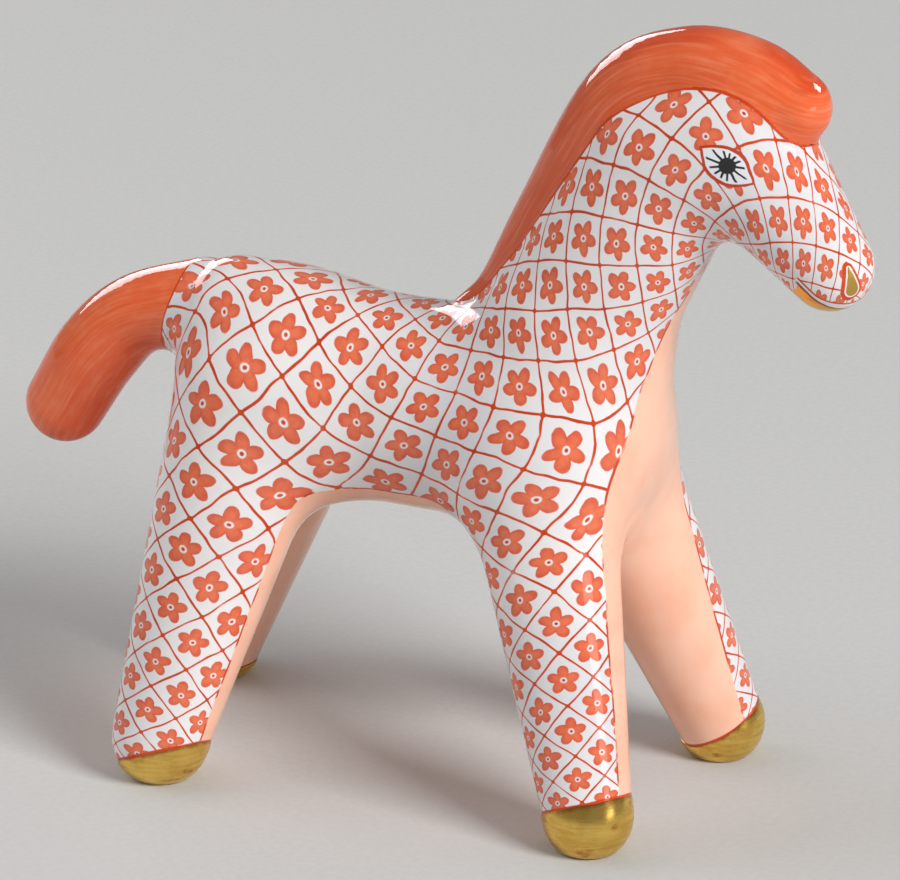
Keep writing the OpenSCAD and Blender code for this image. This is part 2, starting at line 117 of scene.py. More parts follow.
def clay(points):
    """Distance to the skin of the castings."""
    distance = trunk_distance(points)
    for leg in legs.values():
        distance = smooth_min(distance, round_cone(points, *leg), leg_blend)
    return distance


def curve(places, steps):
    """Smooth curve through the places, at steps counted along them."""
    places = np.asarray(places, float)
    steps = np.asarray(steps, float)
    last = len(places) - 1
    i = np.minimum(np.floor(steps), last - 1).astype(int)
    t = (steps - i).reshape(steps.shape + (1,) * (places.ndim - 1))
    here, there = places[i], places[i + 1]
    first_step = (i == 0).reshape(t.shape)
    last_step = (i == last - 1).reshape(t.shape)
    before = np.where(first_step, 2 * here - there, places[np.maximum(i - 1, 0)])
    after = np.where(last_step, 2 * there - here, places[np.minimum(i + 2, last)])
    speed = there - before
    bend = 2 * before - 5 * here + 4 * there - after
    twist = 3 * here - before - 3 * there + after
    return (2 * here + speed * t + bend * t**2 + twist * t**3) / 2


def reach(start, way, level=0.0, field=clay, steps=40):
    """Distance from each start along its way out to the level of a field."""
    distance = np.zeros(len(start))
    for _ in range(steps):
        distance += level - field(start + way * distance[:, None])
    return distance


# Middle lines of the mane and the tail, which the skin rises to meet
neck_slope = math.degrees(math.atan2(*(crest - withers)[[2, 0]]))
head_slope = math.degrees(math.atan2(*(muzzle - poll)[[2, 0]]))
neck_centres = [neck_joint, withers, crest, poll, muzzle]
neck_slopes = [
    neck_joint_slope, neck_slope, 0.75 * neck_slope + 0.25 * head_slope,
    0.5 * neck_slope + 0.5 * head_slope, head_slope,
]
mane_stations = np.array([0.05, 0.7, 1.3, 1.93, 2.59, 3.16, 3.43])
mane_depths = 0.55 * np.array([0.4, 0.5, 0.8, 1.1, 1, 3.4, 0.4])
mane_radii = [0.8, 1.7, 3, 4, 4, 4.2, 3.4]
mane_slopes = np.radians(curve(neck_slopes, mane_stations))
mane_back = np.stack([-np.sin(mane_slopes), 0 * mane_slopes, np.cos(mane_slopes)], 1)
mane_roots = curve(neck_centres, mane_stations)
mane_path = mane_roots + mane_back * (reach(mane_roots, mane_back) - mane_depths)[:, None]
tail_reach, tail_drop = 17.9, 11.4
tail_path = np.array([
    rump - [tail_reach * back, 0, tail_drop * down]
    for back, down in [(0.18, -0.05), (0.56, 0.14), (0.8, 0.5), (1, 1)]])
tail_radii = [4.1, 3.8, 3.99, 3.8]
mane_swell, tail_swell = 1.2, 2.8
rolls = [(mane_path, mane_radii, mane_swell), (tail_path, tail_radii, tail_swell)]


def roll_distance(points, path, radii, pieces=8):
    """Distance to a round-ended roll along a curve."""
    steps = np.linspace(0, len(path) - 1, pieces * (len(path) - 1) + 1)
    places = curve(path, steps)
    widths = curve(radii, steps)
    distance = np.full(len(points), np.inf)
    for i in range(len(steps) - 1):
        cone = round_cone(points, places[i], places[i + 1], widths[i], widths[i + 1])
        distance = np.minimum(distance, cone)
    return distance


def roll_gap(points, path, radii, limit):
    """Distance to a roll where it is less than about the limit, and a large one elsewhere."""
    far_away, rough_error = 50.0, 2
    gap = np.full(len(points), far_away)
    rough = roll_distance(points, path, radii, pieces=1)
    near = rough < limit + rough_error
    if near.any():
        gap[near] = roll_distance(points[near], path, radii)
    return gap


def fillet_reach(points, swell, tail_from=-15, fade_from=40, fade_height=4.5, fade=0.95):
    """Reach of a roll's fillet, which dies out on top of the tail, as that runs straight on from the rump."""
    rise = np.clip((points[:, 2] - fade_from) / fade_height, 0, 1)
    on_tail = swell * (1 - fade * rise * rise * (3 - 2 * rise))
    return np.where(points[:, 0] < tail_from, on_tail, swell)


def glazed_skin(points):
    """Distance to the skin, which swells in a soft fillet where the mane and the tail stand on it."""
    skin = clay(points)
    swelled = skin.copy()
    for path, radii, swell in rolls:
        gap = roll_gap(points, path, radii, swell)
        span = fillet_reach(points, swell)
        overlap = np.clip((span - (gap - skin)) / span, 0, 1)
        swelled -= overlap * overlap * span / 4
    return swelled


def slope_of(field, points, probe=0.005):
    """Direction in which a field grows fastest, with its rate."""
    return np.stack([
        (field(points + probe * way) - field(points - probe * way)) / (2 * probe) for way in np.eye(3)], 1)


def settle(points, cut_axes, field=glazed_skin, steps=4):
    """Pulls the points onto the field's zero, each one kept in the plane of its cut if it has one."""
    for _ in range(steps):
        grade = slope_of(field, points)
        grade -= cut_axes * (grade * cut_axes).sum(1)[:, None]
        points = points - grade * (field(points) / (grade * grade).sum(1))[:, None]
    return points


def laid_out(mesh):
    """Places of a mesh's points, in millimetres, as the model is laid out."""
    return np.array([vert.co for vert in mesh.verts]) / MM + figure_middle


def on_cut(points, width=0.004):
    """For each point, whether it is on a level cut (leg joint or foot) and on the neck's slanting cut."""
    level = (np.abs(points[:, 2] - leg_joint_z) < width) | (np.abs(points[:, 2]) < width)
    sloping = np.abs((points - neck_joint) @ neck_joint_axis) < width
    return level, sloping


def open_skin(nodes, weld=0.002, level_within=0.01):
    """Mesh of the castings' skin, without the flat faces of their joints and feet."""
    mesh = bmesh.new()
    for node in nodes:
        mesh.from_mesh(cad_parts[node].data)
    bmesh.ops.remove_doubles(mesh, verts=mesh.verts, dist=weld * MM)
    level, sloping = on_cut(laid_out(mesh))
    mesh.verts.index_update()
    cut_faces = []
    for face in mesh.faces:
        ring = [vert.index for vert in face.verts]
        heights = [vert.co.z for vert in face.verts]
        if sloping[ring].all() or (level[ring].all() and max(heights) - min(heights) < level_within * MM):
            cut_faces.append(face)
    bmesh.ops.delete(mesh, geom=cut_faces, context="FACES")
    return mesh


def refine(mesh):
    """Splits every edge and settles the new points on the glazed skin."""
    bmesh.ops.subdivide_edges(mesh, edges=mesh.edges[:], cuts=1, use_grid_fill=True)
    points = laid_out(mesh)
    level, sloping = on_cut(points)
    rim = np.array([vert.is_boundary for vert in mesh.verts])
    cut_axes = np.zeros((len(points), 3))
    cut_axes[rim & level] = [0, 0, 1]
    cut_axes[rim & sloping] = neck_joint_axis
    points = settle(points, cut_axes)
    for vert, place in zip(mesh.verts, (points - figure_middle) * MM):
        vert.co = place
    return points


# Line down the middle of the body, from the rump to the lips, that the painter's net follows:
# x, z, slope of the sections across it, mean radius, and angle from the back at which the peach wash starts
body_line = np.array([
    [-27, 40.5, 60, 6.2, 185],
    [-21.5, 38.5, 20, 7.6, 150],
    [-14, 35.5, 0, 9.6, 136],
    [-2, 35, 22, 9.7, 134],
    [10, 38.5, 55, 9.4, 146],
    [13.6, 46.3, 61.9, 8.2, 159],
    [21.4, 60.9, 34.2, 7.4, 187],
    [27.2, 64.1, 6.4, 6.8, 206],
    [36.7, 53.1, -49.2, 4.8, 206],
    [39.6, 49.75, -49.2, 4.2, 206],
])
line_samples = curve(body_line, np.linspace(0, len(body_line) - 1, 240))
net_cells_round_body = 10
net_cells_round_leg = 6.7
net_cell_stretch = 1.12
net_lift_on_rump = 1.5
net_start = [-5, 0, 44.3]


def body_place(points):
    """For each point: slope of its section in radians, radius there, wash limit and turn from the back."""
    slopes = np.radians(line_samples[:, 2])
    axes = np.stack([np.cos(slopes), 0 * slopes, np.sin(slopes)], 1)
    centres = np.stack([line_samples[:, 0], 0 * slopes, line_samples[:, 1]], 1)
    ahead = points @ axes.T - (centres * axes).sum(1)
    away = np.linalg.norm(points[:, None] - centres[None], axis=2)
    crossing = (ahead[:, :-1] > 0) & (ahead[:, 1:] <= 0)
    span = np.where(crossing, away[:, :-1], np.inf)
    nearest = np.where(crossing.any(1), span.argmin(1), np.where(ahead[:, -1] > 0, len(axes) - 2, 0))
    row = np.arange(len(points))
    here, there = ahead[row, nearest], ahead[row, nearest + 1]
    share = np.clip(here / np.where(here == there, 1, here - there), 0, 1)[:, None]
    sample = line_samples[nearest] * (1 - share) + line_samples[nearest + 1] * share
    slope = np.radians(sample[:, 2])
    rise = -np.sin(slope) * (points[:, 0] - sample[:, 0]) + np.cos(slope) * (points[:, 2] - sample[:, 1])
    turn = np.degrees(np.arctan2(np.abs(points[:, 1]), rise))
    return slope, sample[:, 3], sample[:, 4], turn


def leg_place(points, leg):
    """For each point: way round the leg, radius there, and turn from the outer side, positive if forward."""
    hip, hoof, hip_r, hoof_r = leg
    length = np.linalg.norm(hoof - hip)
    axis = (hoof - hip) / length
    outer = np.array([0, np.sign(hip[1]), 0])
    outer = outer - axis * (outer @ axis)
    outer /= np.linalg.norm(outer)
    front = np.cross(axis, outer)
    front *= np.sign(front[0])
    offset = points - hip
    turn = np.arctan2(offset @ front, offset @ outer)
    way = front * np.cos(turn)[:, None] - outer * np.sin(turn)[:, None]
    radius = hip_r + (hoof_r - hip_r) * np.clip(offset @ axis / length, 0, 1)
    return way, radius, np.degrees(turn)


def leg_shares(points, width=4.0):
    """How far each point belongs to each leg rather than to the body."""
    gaps = np.array([round_cone(points, *leg) for leg in legs.values()])
    nearest = gaps.min(0)
    hold = np.exp(nearest - gaps)
    lean = np.clip((trunk_distance(points) - nearest + width) / (2 * width), 0, 1)
    return hold / hold.sum(0) * lean * lean * (3 - 2 * lean)


# Turns from a leg's outer side at which the peach wash starts:
# forward at the hip, forward at the hoof, and backward
wash_turns = {
    "front_right": (75, 75, 84),
    "front_left": (78, 122, 84),
    "rear_right": (72, 72, 96),
    "rear_left": (72, 72, 96),
}


def wash_depth(points):
    """Distance in millimetres that a point lies inside the peach wash, less than nothing outside it."""
    _, radius, limit, turn = body_place(points)
    shares = leg_shares(points)
    depth = (1 - shares.sum(0)) * np.radians(turn - limit) * radius
    for share, (name, leg) in zip(shares, legs.items()):
        _, leg_radius, leg_turn = leg_place(points, leg)
        at_hip, at_hoof, backward = wash_turns[name]
        hip_z, hoof_z = leg[0][2], leg[1][2]
        down = np.clip((hip_z - points[:, 2]) / (hip_z - hoof_z), 0, 1)
        past = np.where(leg_turn > 0, leg_turn - at_hip - (at_hoof - at_hip) * down, -leg_turn - backward)
        depth += share * np.radians(past) * leg_radius
    return depth


def painters_net():
    """Lays the painter's two-way net over the whole skin, with cells that suit the girth of each part."""
    hips_x, deep_wash, under_turn, slack = -12, 2.5, 172, 1e-4
    most_rounds, close_enough, anchor = 4000, 1e-12, 1e-7
    mesh = open_skin(castings)
    points = refine(mesh)
    mesh.verts.index_update()
    triangles = np.array([[vert.index for vert in face.verts] for face in mesh.faces])
    mesh.free()
    corners = points[triangles]
    middles = corners.mean(1)
    normals = np.cross(corners[:, 1] - corners[:, 0], corners[:, 2] - corners[:, 0])
    normals /= np.linalg.norm(normals, axis=1)[:, None]

    slope, radius, _, turn = body_place(middles)
    shares = leg_shares(middles)
    body_share = 1 - shares.sum(0)
    flow = np.stack([np.cos(slope), 0 * slope, np.sin(slope)], 1)
    flow[:, 2] += np.where(middles[:, 0] < hips_x, net_lift_on_rump * np.maximum(-normals[:, 0], 0), 0)
    flow *= body_share[:, None]
    cell = body_share * radius / net_cells_round_body
    for share, leg in zip(shares, legs.values()):
        way, leg_radius, _ = leg_place(middles, leg)
        flow += share[:, None] * way
        cell += share * leg_radius / net_cells_round_leg
    cell *= 2 * math.pi
    flow -= normals * (flow * normals).sum(1)[:, None]
    flow /= np.linalg.norm(flow, axis=1)[:, None]
    fields = [np.cross(normals, flow) / cell[:, None], flow / (net_cell_stretch * cell)[:, None]]
    unseen = (wash_depth(middles) > deep_wash) | ((turn > under_turn) & (body_share > 0.5))
    weight = np.where(unseen, slack, 1.0)

    count = len(points)
    pairs, springs = [], []
    pulls = [np.zeros(count) for _ in fields]
    for i in range(3):
        j, k = (i + 1) % 3, (i + 2) % 3
        from_i, from_j = corners[:, i] - corners[:, k], corners[:, j] - corners[:, k]
        cotangent = (from_i * from_j).sum(1) / np.linalg.norm(np.cross(from_i, from_j), axis=1)
        pairs.append(triangles[:, [i, j]])
        springs.append(weight * cotangent / 2)
        lever = np.cross(normals, corners[:, k] - corners[:, j]) * (weight / 2)[:, None]
        for pull, field in zip(pulls, fields):
            pull += np.bincount(triangles[:, i], (lever * field).sum(1), count)
    pairs, springs = np.concatenate(pairs), np.concatenate(springs)
    own = np.bincount(pairs[:, 0], springs, count) + np.bincount(pairs[:, 1], springs, count) + anchor

    def stretch(values):
        """Pull of the springs on each point when the net has these values."""
        drawn = np.bincount(pairs[:, 0], springs * values[pairs[:, 1]], count)
        drawn += np.bincount(pairs[:, 1], springs * values[pairs[:, 0]], count)
        return own * values - drawn

    heights = []
    for pull in pulls:
        value = np.zeros(count)
        rest = pull.copy()
        eased = rest / own
        step = eased.copy()
        energy = rest @ eased
        first = energy
        for _ in range(most_rounds):
            answer = stretch(step)
            length = energy / (step @ answer)
            value += length * step
            rest -= length * answer
            eased = rest / own
            next_energy = rest @ eased
            if next_energy < close_enough * first:
                break
            step = eased + step * next_energy / energy
            energy = next_energy
        heights.append(value)
    on_back = np.argmin(np.linalg.norm(points - net_start, axis=1))
    tree = KDTree(count)
    for index, place in enumerate(points):
        tree.insert(place, index)
    tree.balance()
    return tree, heights[0] - heights[0][on_back], heights[1] - heights[1][on_back]


net_tree, net_across, net_along = painters_net()

# The gold's edge on each hoof:
# height over the middle of the foot, and slopes up to the toe and to the outer side
gilding_edges = {
    "front_right": (4.3, 21, 16),
    "front_left": (3.5, 26, 19),
    "rear_right": (2.2, 21, 16),
    "rear_left": (1.3, 4, 0),
}
coral_edge_x, coral_edge_z, coral_edge_lean = -25.8, 44.8, 0.25
mane_border, tail_border, gold_border = 0.24, 0.15, 0.26


def net_above(points, neighbours=40, spread=0.5):
    """The painter's net carried over to points that lie a little above the skin."""
    carried = np.zeros((len(points), 2))
    for index, place in enumerate(points):
        near = net_tree.find_n(place, neighbours)
        gaps = np.array([gap for _, _, gap in near])
        chosen = [number for _, number, _ in near]
        weights = np.exp(-(((gaps - gaps[0]) / spread) ** 2))
        carried[index] = weights @ net_across[chosen], weights @ net_along[chosen]
        carried[index] /= weights.sum()
    return carried.T


def gold_edge(name):
    """Middle of the gold's edge on a hoof, and the axis that is square to it."""
    hoof = legs[name][1]
    height, toe_slope, side_slope = gilding_edges[name]
    middle = np.array([hoof[0], hoof[1], height])
    toe, side = math.tan(math.radians(toe_slope)), math.tan(math.radians(side_slope))
    axis = np.array([-toe, -side * np.sign(hoof[1]), 1])
    return middle, axis / np.linalg.norm(axis)


def tail_root(points):
    """Distance from each point back past the upright line where the tail's coral starts."""
    return coral_edge_lean * (points[:, 2] - coral_edge_z) + coral_edge_x - points[:, 0]


def line_gap(points):
    """Distance from each point to the edge of what borders the painted skin: mane, tail or gilding."""
    far, before_tail, hoof_girth = 3, -0.4, 12
    skin = clay(points)
    mane_gap = roll_gap(points, mane_path, mane_radii, far) - skin + mane_border
    tail_gap = roll_gap(points, tail_path, tail_radii, far) - skin + tail_border
    gap = np.minimum(mane_gap, np.where(tail_root(points) > before_tail, tail_gap, far))
    for name in legs:
        middle, axis = gold_edge(name)
        near = np.linalg.norm(points - middle, axis=1) < hoof_girth
        gap = np.where(near, np.minimum(gap, (points - middle) @ axis + gold_border), gap)
    return gap


def mark_points(data, marks):
    """Writes named numbers on the points of a mesh."""
    for name, values in marks.items():
        data.attributes.new(name, "FLOAT", "POINT").data.foreach_set("value", values.astype(np.float32))


def smooth_over(data, grade, flat_faces):
    """Shades a mesh smooth by the slope at its points, apart from the faces that are to stay flat."""
    data.shade_smooth()
    corner_points = np.zeros(len(data.loops), int)
    data.loops.foreach_get("vertex_index", corner_points)
    corner_normals = (grade / np.linalg.norm(grade, axis=1)[:, None])[corner_points]
    for face in flat_faces:
        face.use_smooth = False
        corner_normals[face.loop_start:face.loop_start + face.loop_total] = face.normal
    data.normals_split_custom_set(corner_normals.tolist())


def set_out(name, data):
    """Sets out a mesh, lamp or camera in the scene."""
    piece = bpy.data.objects.new(name, data)
    bpy.context.scene.collection.objects.link(piece)
    return piece


def cast(node):
    """Fine, closed mesh of one casting, with the painter's net and its borders marked on its points."""
    mesh = open_skin([node])
    points = refine(mesh)
    across = mesh.verts.layers.float.new("net_across")
    along = mesh.verts.layers.float.new("net_along")
    for vert, place in zip(mesh.verts, points):
        nearest = net_tree.find(place)[1]
        vert[across] = net_across[nearest]
        vert[along] = net_along[nearest]
    points = refine(mesh)
    skin_faces = len(mesh.faces)
    rim = [edge for edge in mesh.edges if edge.is_boundary]
    bmesh.ops.holes_fill(mesh, edges=rim, sides=0)
    bmesh.ops.recalc_face_normals(mesh, faces=mesh.faces[:])
    data = bpy.data.meshes.new(node)
    mesh.to_mesh(data)
    mesh.free()
    mark_points(data, {"wash": wash_depth(points), "border": line_gap(points)})
    smooth_over(data, slope_of(glazed_skin, points), list(data.polygons)[skin_faces:])
    return set_out(node + "_casting", data)


def shade(red, green, blue):
    """Colour of a finish, given in the usual 0 to 255 numbers."""
    linear = [((c / 255 + 0.055) / 1.055) ** 2.4 if c > 10 else c / 3295 for c in (red, green, blue)]
    return (*linear, 1.0)


class Stroke:
    """One number for each point of a surface, worked out by the nodes of its material."""

    def __init__(self, tree, socket):
        self.tree = tree
        self.socket = socket

    def feed(self, entries, values):
        """Sets a node's entries to plain numbers or links them to other strokes."""
        for entry, value in zip(entries, values):
            if isinstance(value, Stroke):
                self.tree.links.new(value.socket, entry)
            else:
                entry.default_value = value

    def work(self, operation, *others):
        """Result of a sum on this number and the others."""
        node = self.tree.nodes.new("ShaderNodeMath")
        node.operation = operation
        self.feed(node.inputs, (self, *others))
        return Stroke(self.tree, node.outputs[0])

    def __add__(self, other):
        return self.work("ADD", other)

    def __sub__(self, other):
        return self.work("SUBTRACT", other)

    def __mul__(self, other):
        return self.work("MULTIPLY", other)

    def fade(self, start, end):
        """0 at the start and before, 1 at the end and beyond, smooth between them."""
        node = self.tree.nodes.new("ShaderNodeMapRange")
        node.interpolation_type = "SMOOTHSTEP"
        self.feed(node.inputs[:5], (self, start, end, 0.0, 1.0))
        return Stroke(self.tree, node.outputs[0])


class Finish:
    """Material of a piece, with the marks on its points and the washes of colour laid over each other."""

    def __init__(self, name):
        self.material = bpy.data.materials.new(name)
        self.material.use_nodes = True
        self.tree = self.material.node_tree
        self.shader = self.tree.nodes["Principled BSDF"]
        self.place = self.tree.nodes.new("ShaderNodeTexCoord").outputs["Object"]

    def mark(self, name):
        """Number that the mesh carries on its points under this name."""
        node = self.tree.nodes.new("ShaderNodeAttribute")
        node.attribute_name = name
        return Stroke(self.tree, node.outputs["Fac"])

    def grain(self, per_metre, detail=2.0, stretch=None, shift=0.0):
        """Soft random mottle, about even around 0.5."""
        source = self.place
        if stretch is not None:
            join = self.tree.nodes.new("ShaderNodeCombineXYZ")
            for entry, value in zip(join.inputs, stretch):
                self.tree.links.new(value.socket, entry)
            source = join.outputs[0]
        node = self.tree.nodes.new("ShaderNodeTexNoise")
        node.noise_dimensions = "4D"
        self.tree.links.new(source, node.inputs["Vector"])
        node.inputs["W"].default_value = shift
        node.inputs["Scale"].default_value = per_metre
        node.inputs["Detail"].default_value = detail
        return Stroke(self.tree, node.outputs[0])

    def lay(self, under, over, amount):
        """Lays one colour over another; each is a plain colour or a colour socket."""
        node = self.tree.nodes.new("ShaderNodeMix")
        node.data_type = "RGBA"
        self.tree.links.new(amount.socket, node.inputs[0])
        for entry, colour in zip(node.inputs[6:8], (under, over)):
            if isinstance(colour, tuple):
                entry.default_value = colour
            else:
                self.tree.links.new(colour, entry)
        return node.outputs[2]

    def places(self):
        """The three coordinates of each point, in metres."""
        node = self.tree.nodes.new("ShaderNodeSeparateXYZ")
        self.tree.links.new(self.place, node.inputs[0])
        return [Stroke(self.tree, socket) for socket in node.outputs]

    def guide(self, entry, amount):
        """Lets an amount steer an entry of the shader from place to place."""
        self.tree.links.new(amount.socket, self.shader.inputs[entry])

    def relief(self, height, depth_mm):
        """Raises the surface by up to the depth, as fine waves or brush marks do."""
        node = self.tree.nodes.new("ShaderNodeBump")
        node.inputs["Strength"].default_value = 1.0
        node.inputs["Distance"].default_value = depth_mm * MM
        self.tree.links.new(height.socket, node.inputs["Height"])
        self.tree.links.new(node.outputs[0], self.shader.inputs["Normal"])


white_glaze = shade(238, 236, 238)
pooled_glaze = shade(222, 222, 228)
peach_wash = shade(252, 201, 176)
peach_deep = shade(248, 186, 158)
iron_red = shade(212, 72, 24)
iron_red_thin = shade(236, 108, 56)
iron_red_deep = shade(194, 60, 20)


def painted_porcelain(name):
    """White glaze, peach wash inside the legs, red trellis with a blossom in each cell, and red borders."""
    finish = Finish(name)
    wash = finish.mark("wash")
    border = finish.mark("border")
    sway = finish.grain(190, shift=1.0) - 0.5
    swing = finish.grain(190, shift=5.0) - 0.5
    across = finish.mark("net_across") + sway * 0.2
    along = finish.mark("net_along") + swing * 0.2
    pressure = finish.grain(420, shift=9.0)
    wetness = finish.grain(900, detail=4.0, shift=13.0)

    one_way = (across + along).work("FRACT") - 0.5
    other_way = (across - along).work("FRACT") - 0.5
    line_one = one_way.work("ABSOLUTE").work("MULTIPLY_ADD", -1.0, 0.5)
    line_two = other_way.work("ABSOLUTE").work("MULTIPLY_ADD", -1.0, 0.5)
    width = pressure.work("MULTIPLY_ADD", 0.03, 0.002)
    trellis = line_one.work("MINIMUM", line_two).fade(width + 0.014, width)

    petal_x = one_way + other_way
    petal_y = one_way - other_way
    spread = (petal_x * petal_x + petal_y * petal_y).work("SQRT")
    turn = petal_y.work("ARCTAN2", petal_x)
    lobes = (turn * 2.5 + sway * 2.0).work("COSINE").work("ABSOLUTE")
    petal_edge = lobes.work("MULTIPLY_ADD", 0.25, 0.3) + (wetness - 0.5) * 0.1
    petals = spread.fade(petal_edge + 0.02, petal_edge - 0.02)
    eye = spread.fade(0.09, 0.13)
    seed = spread.fade(0.065, 0.04)
    blossom = petals * eye
    knot = (line_one + line_two).fade(0.09, 0.07)

    bare = (wash + swing * 0.5).fade(-0.06, 0.06)
    wash_line = (wash + swing * 0.5).work("ABSOLUTE").fade(0.16, 0.07) * pressure.fade(0.46, 0.54)
    border_way = border + sway * 0.25
    border_line = border_way.fade(0.52, 0.42)
    painted = bare.work("MULTIPLY_ADD", -1.0, 1.0) * border_way.fade(0.26, 0.3)

    pooling = finish.grain(60, detail=1.0, shift=21.0)
    ground = finish.lay(white_glaze, pooled_glaze, pooling.fade(0.35, 0.75))
    wash_tone = finish.lay(peach_wash, peach_deep, finish.grain(260, detail=5.0, shift=3.0).fade(0.35, 0.8))
    colour = finish.lay(ground, wash_tone, bare)
    bristles = finish.grain(2600, detail=2.0, shift=25.0)
    pooled_rim = (petal_edge - spread).fade(0.24, 0.02) * 0.6
    watery = pooled_rim + (wetness - 0.5) * 1.6 + (bristles - 0.5) * 0.9 + 0.2
    petal_tone = finish.lay(iron_red_thin, iron_red, watery)
    colour = finish.lay(colour, petal_tone, blossom * painted * 0.94)
    lines = (trellis.work("MAXIMUM", knot).work("MAXIMUM", seed)) * painted
    lines = lines.work("MAXIMUM", wash_line * border_way.fade(0.26, 0.3)).work("MAXIMUM", border_line)
    line_tone = finish.lay(iron_red, iron_red_deep, pressure.fade(0.4, 0.7))
    colour = finish.lay(colour, line_tone, lines * pressure.fade(0.05, 0.4))
    return finish, colour


def show(finish, colour):
    """Joins the last colour to the finish and hands over its material."""
    finish.tree.links.new(colour, finish.shader.inputs["Base Color"])
    return finish.material


def glazed(finish, colour):
    """Gives a finish the gloss and the faint waves of a fired glaze."""
    finish.shader.inputs["Roughness"].default_value = 0.04
    finish.relief(finish.grain(140, detail=1.0, shift=17.0), 0.03)
    return show(finish, colour)


body_finish = glazed(*painted_porcelain("painted_porcelain"))
torso = cast("torso")
torso.data.materials.append(body_finish)
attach(torso, "root")
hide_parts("torso")

# Neck and head: one casting, luted to the torso across a slanting joint.
# The same white porcelain and trellis; the eyes are drawn in black and red by brush, and the nostrils
# and the lower lip gilded.

neck_finish, neck_colour = painted_porcelain("painted_porcelain_face")
head_x, head_y, head_z = (place * (1 / MM) for place in neck_finish.places())
head_x = head_x + float(figure_middle[0])
head_y = (head_y + float(figure_middle[1])).work("ABSOLUTE")


def along(way, start):
    """Distance in millimetres along a way over the head, the same on both cheeks."""
    way = np.array(way) / np.linalg.norm(way)
    first = head_x.work("MULTIPLY_ADD", float(way[0]), float(-way @ np.array(start)))
    second = head_y.work("MULTIPLY_ADD", float(way[1]), first)
    return head_z.work("MULTIPLY_ADD", float(way[2]), second)


eye_white = shade(232, 236, 244)
lash_black = shade(30, 28, 30)
lip_gold = shade(224, 180, 88)
mouth_red = shade(150, 52, 30)
tremble = (neck_finish.grain(700, shift=31.0) - 0.5) * 0.3

eye_middle = (29.35, 6.37, 63.27)
eye_half_length, upper_lid_height, lower_lid_height = 2.75, 1.5, 1.66
pupil_size, rays, ray_end = 0.8, 13, 2.2
eye_x = along((0.801, -0.222, -0.556), eye_middle) + tremble
eye_y = along((0.53, -0.164, 0.83), eye_middle) + tremble
lid = (eye_x * eye_x).work("MULTIPLY_ADD", -1 / eye_half_length**2, 1.0)
eye_gap = (eye_y - lid * upper_lid_height).work("MAXIMUM", lid * -lower_lid_height - eye_y)
from_pupil = (eye_x * eye_x + eye_y * eye_y).work("SQRT")
ray_turn = (eye_y.work("ARCTAN2", eye_x) * (rays / 2)).work("SINE").work("ABSOLUTE")
ray_length = (from_pupil + tremble * 3.0).fade(ray_end, 1.9)
ray = (ray_turn * from_pupil * 0.16).fade(0.13, 0.07) * ray_length * eye_gap.fade(-0.3, -0.42)
black = from_pupil.fade(pupil_size, 0.72).work("MAXIMUM", ray) * eye_gap.fade(-0.16, -0.24)
neck_colour = neck_finish.lay(neck_colour, iron_red_deep, eye_gap.fade(0.2, 0.13))
neck_colour = neck_finish.lay(neck_colour, eye_white, eye_gap.fade(-0.12, -0.2))
neck_colour = neck_finish.lay(neck_colour, lash_black, black)

nostril_middle = (39.65, 2.5, 52.86)
nostril_y = along((0.08, -0.19, -0.98), nostril_middle) + tremble * 0.5
nostril_x = along((0.62, -0.77, 0.2), nostril_middle) + tremble * 0.5
nostril_long, nostril_r, nostril_tip_r, nostril_foot = 2.11, 0.6, 0.08, 0.78
nostril_low = nostril_y - nostril_foot
nostril_share = (nostril_low * (-1 / nostril_long)).work("MAXIMUM", 0.0).work("MINIMUM", 1.0)
past_end = nostril_low + nostril_share * nostril_long
narrowing = nostril_share.work("POWER", 1.3) * (nostril_r - nostril_tip_r)
nostril_out = (nostril_x * nostril_x + past_end * past_end).work("SQRT") + narrowing - nostril_r
nostril_line_edge = nostril_x.fade(0.3, -0.3).work("MULTIPLY_ADD", 0.16, 0.32)
nostril_line = nostril_out.fade(nostril_line_edge + 0.06, nostril_line_edge)
neck_colour = neck_finish.lay(neck_colour, iron_red, nostril_line)
neck_colour = neck_finish.lay(neck_colour, white_glaze, nostril_out.fade(0.16, 0.1))

mouth_at = 1.97  # turn of the mouth from the top of the muzzle, in radians
chin_along = along((0.653, 0, -0.757), muzzle)
chin_up = along((0.757, 0, 0.653), muzzle)
mouth_turn = head_y.work("ARCTAN2", chin_up) + tremble * 0.1
mouth_reach = chin_along.fade(-1.0, -0.6) * chin_up.fade(-7.5, -6.5)
mouth_line = (mouth_turn - mouth_at).work("ABSOLUTE").fade(0.05, 0.025) * mouth_reach
lip = mouth_turn.fade(mouth_at + 0.02, mouth_at + 0.04) * chin_along.fade(-0.5, -0.2) * mouth_reach
nostril_gold = nostril_out.fade(0.02, -0.03)
gold_amount = nostril_gold.work("MAXIMUM", lip)
mouth_lean = -1 / math.tan(mouth_at)
over_mouth = head_y.work("MULTIPLY_ADD", mouth_lean, chin_up) * math.sin(mouth_at) + tremble * 0.4
lip_width = chin_along.fade(1.0, 3.4).work("MULTIPLY_ADD", 0.4, 0.5)
lip_reach = chin_along.fade(-1.2, -0.9)
upper_lip = over_mouth.fade(lip_width + 0.04, lip_width - 0.02) * lip_reach
upper_lip_line = (over_mouth - lip_width).work("ABSOLUTE").fade(0.14, 0.07) * lip_reach
neck_colour = neck_finish.lay(neck_colour, white_glaze, upper_lip * over_mouth.fade(-0.3, -0.1))
neck_colour = neck_finish.lay(neck_colour, iron_red, upper_lip_line)
neck_colour = neck_finish.lay(neck_colour, lip_gold, gold_amount)
neck_colour = neck_finish.lay(neck_colour, mouth_red, mouth_line)
neck_finish.guide("Metallic", gold_amount)
neck_finish.guide("Roughness", gold_amount.work("MULTIPLY_ADD", 0.18, 0.07))
neck_and_head = cast("neck_and_head")
